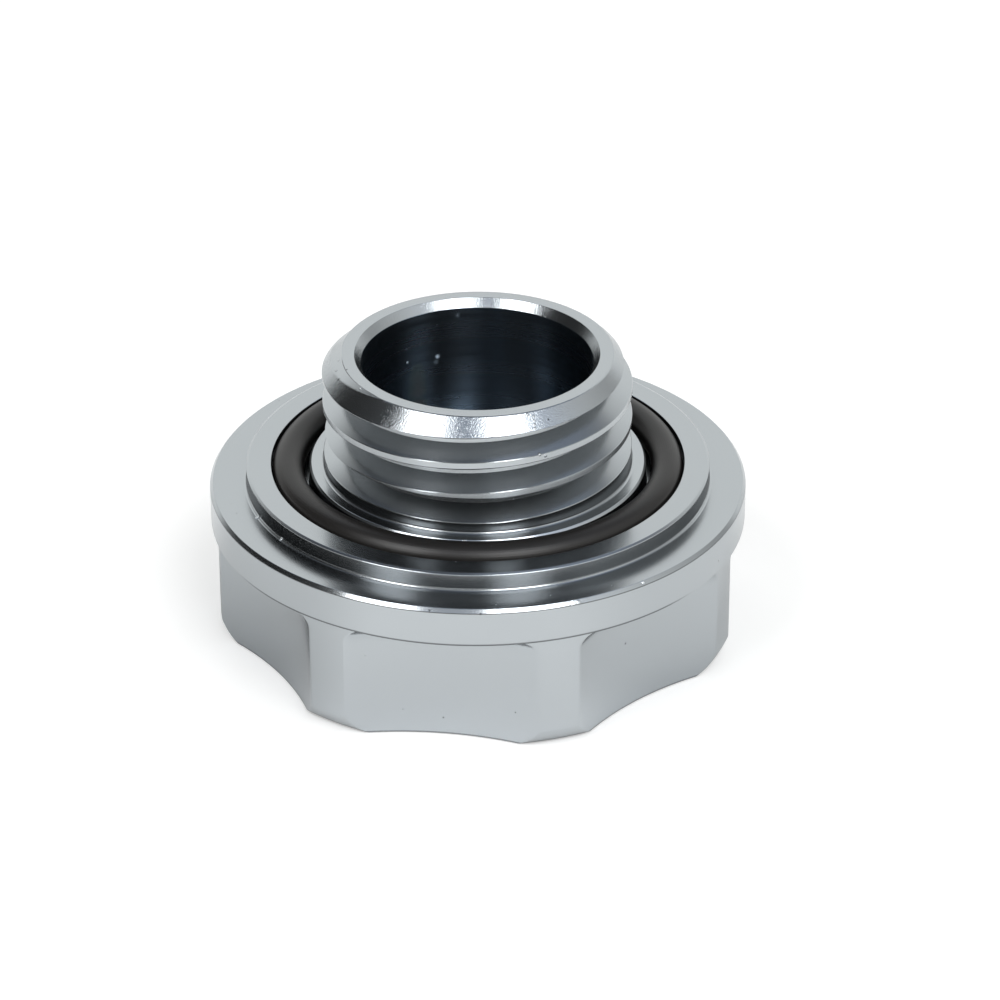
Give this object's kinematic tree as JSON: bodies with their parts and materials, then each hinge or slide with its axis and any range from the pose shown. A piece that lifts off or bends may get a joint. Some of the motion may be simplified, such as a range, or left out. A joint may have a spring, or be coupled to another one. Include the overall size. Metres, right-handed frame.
{
  "type": "oil filler cap",
  "caption": "Turned aluminium oil filler cap with a scalloped knob, a flange with a seal groove and rubber ring, and a coarse threaded hollow spigot, lying on its knob.",
  "frame": {"origin": "centre of the knob's outer face, on the cap's axis", "axes": "+Z along the axis, from the knob's outer face towards the open end of the threaded spigot; -Y is the side the picture was taken from"},
  "size_m": [0.0558, 0.0558, 0.0313],
  "materials": {
    "aluminium": "turned, bright grey-blue plated",
    "rubber": "satin black"
  },
  "bodies": {
    "root": {"cap_body": "aluminium", "o_ring": "rubber"}
  },
  "joints": []
}
